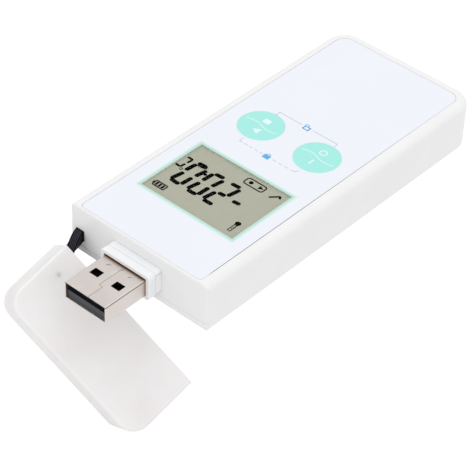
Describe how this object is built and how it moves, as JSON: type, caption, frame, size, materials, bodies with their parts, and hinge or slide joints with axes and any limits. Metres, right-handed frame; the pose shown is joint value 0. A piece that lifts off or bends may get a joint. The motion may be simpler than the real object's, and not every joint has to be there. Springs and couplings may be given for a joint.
{
  "type": "temperature data logger",
  "caption": "Flat pocket temperature logger with a display and two round keys under a printed film, a plug at one end, and a soft cap hanging on a rubber strap.",
  "frame": {"origin": "middle of the flat back of the case", "axes": "+Z out of the label, +Y along the length towards the plug, +X to the side of the strap"},
  "size_m": [0.0454, 0.113, 0.0466],
  "materials": {
    "case_white": "fine matt moulded ABS",
    "collar_white": "fine matt moulded ABS",
    "seal_rubber": "matt",
    "screw_steel": "zinc plated",
    "label_film": "printed film, half gloss",
    "window_clear": "clear, gloss",
    "display_olive": "grey olive display",
    "glass_clear": "clear",
    "reflector_silver": "silvered film",
    "holder_black": "moulded",
    "strip_rubber": "layered contact rubber",
    "key_mint": "printed film, half gloss",
    "switch_black": "moulded",
    "board_green": "solder mask",
    "chip_black": "moulded",
    "can_steel": "nickel plated",
    "tab_nickel": "nickel strip",
    "plug_nickel": "nickel plated, fine grain",
    "tongue_blue": "moulded",
    "contact_gold": "gold plated",
    "ring_black": "moulded",
    "strap_rubber": "matt, fine lengthwise lines",
    "pin_steel": "plain",
    "cap_silicone": "milky, slightly see-through silicone"
  },
  "bodies": {
    "root": {"front_case": "case_white", "back_cover": "case_white", "case_seal": "seal_rubber", "case_screws": "screw_steel", "face_label": "label_film", "display_window": "window_clear", "front_polariser": "display_olive", "lcd_glass": "glass_clear", "lcd_reflector": "reflector_silver", "lcd_holder": "holder_black", "contact_strips": "strip_rubber", "start_switch": "switch_black", "power_switch": "switch_black", "main_board": "board_green", "controller_chip": "chip_black", "memory_chip": "chip_black", "crystal": "can_steel", "temperature_sensor": "chip_black", "battery_cell": "can_steel", "battery_tab_positive": "tab_nickel", "battery_tab_negative": "tab_nickel", "usb_shell": "plug_nickel", "usb_tongue": "tongue_blue", "usb_contacts": "contact_gold", "usb_collar": "collar_white", "plug_seal": "ring_black", "strap_anchor": "strap_rubber"},
    "start_key": {"start_key": "key_mint"},
    "power_key": {"power_key": "key_mint"},
    "strap": {"cap_strap": "strap_rubber"},
    "cap": {"strap_end": "strap_rubber", "strap_pin": "pin_steel", "cap": "cap_silicone"}
  },
  "joints": [
    {"name": "start_key_press", "type": "slide", "parent": "root", "child": "start_key", "axis": [0, 0, -1], "range_m": [0, 0.0003], "stiffness_N_per_m": 4000, "springref_m": -0.0001},
    {"name": "power_key_press", "type": "slide", "parent": "root", "child": "power_key", "axis": [0, 0, -1], "range_m": [0, 0.0003], "stiffness_N_per_m": 4000, "springref_m": -0.0001},
    {"name": "strap_bend", "type": "hinge", "parent": "root", "child": "strap", "pos_m": [0.01705, 0.0463, 0.00432], "axis": [1, 0, 0], "range_deg": [-20, 20], "stiffness_Nm_per_rad": 0.03},
    {"name": "cap_twist", "type": "hinge", "parent": "strap", "child": "cap", "pos_m": [0.01653, 0.05012, 0.0032], "axis": [0.1105, 0.9083, -0.4033], "range_deg": [-20, 20], "stiffness_Nm_per_rad": 0.03}
  ]
}
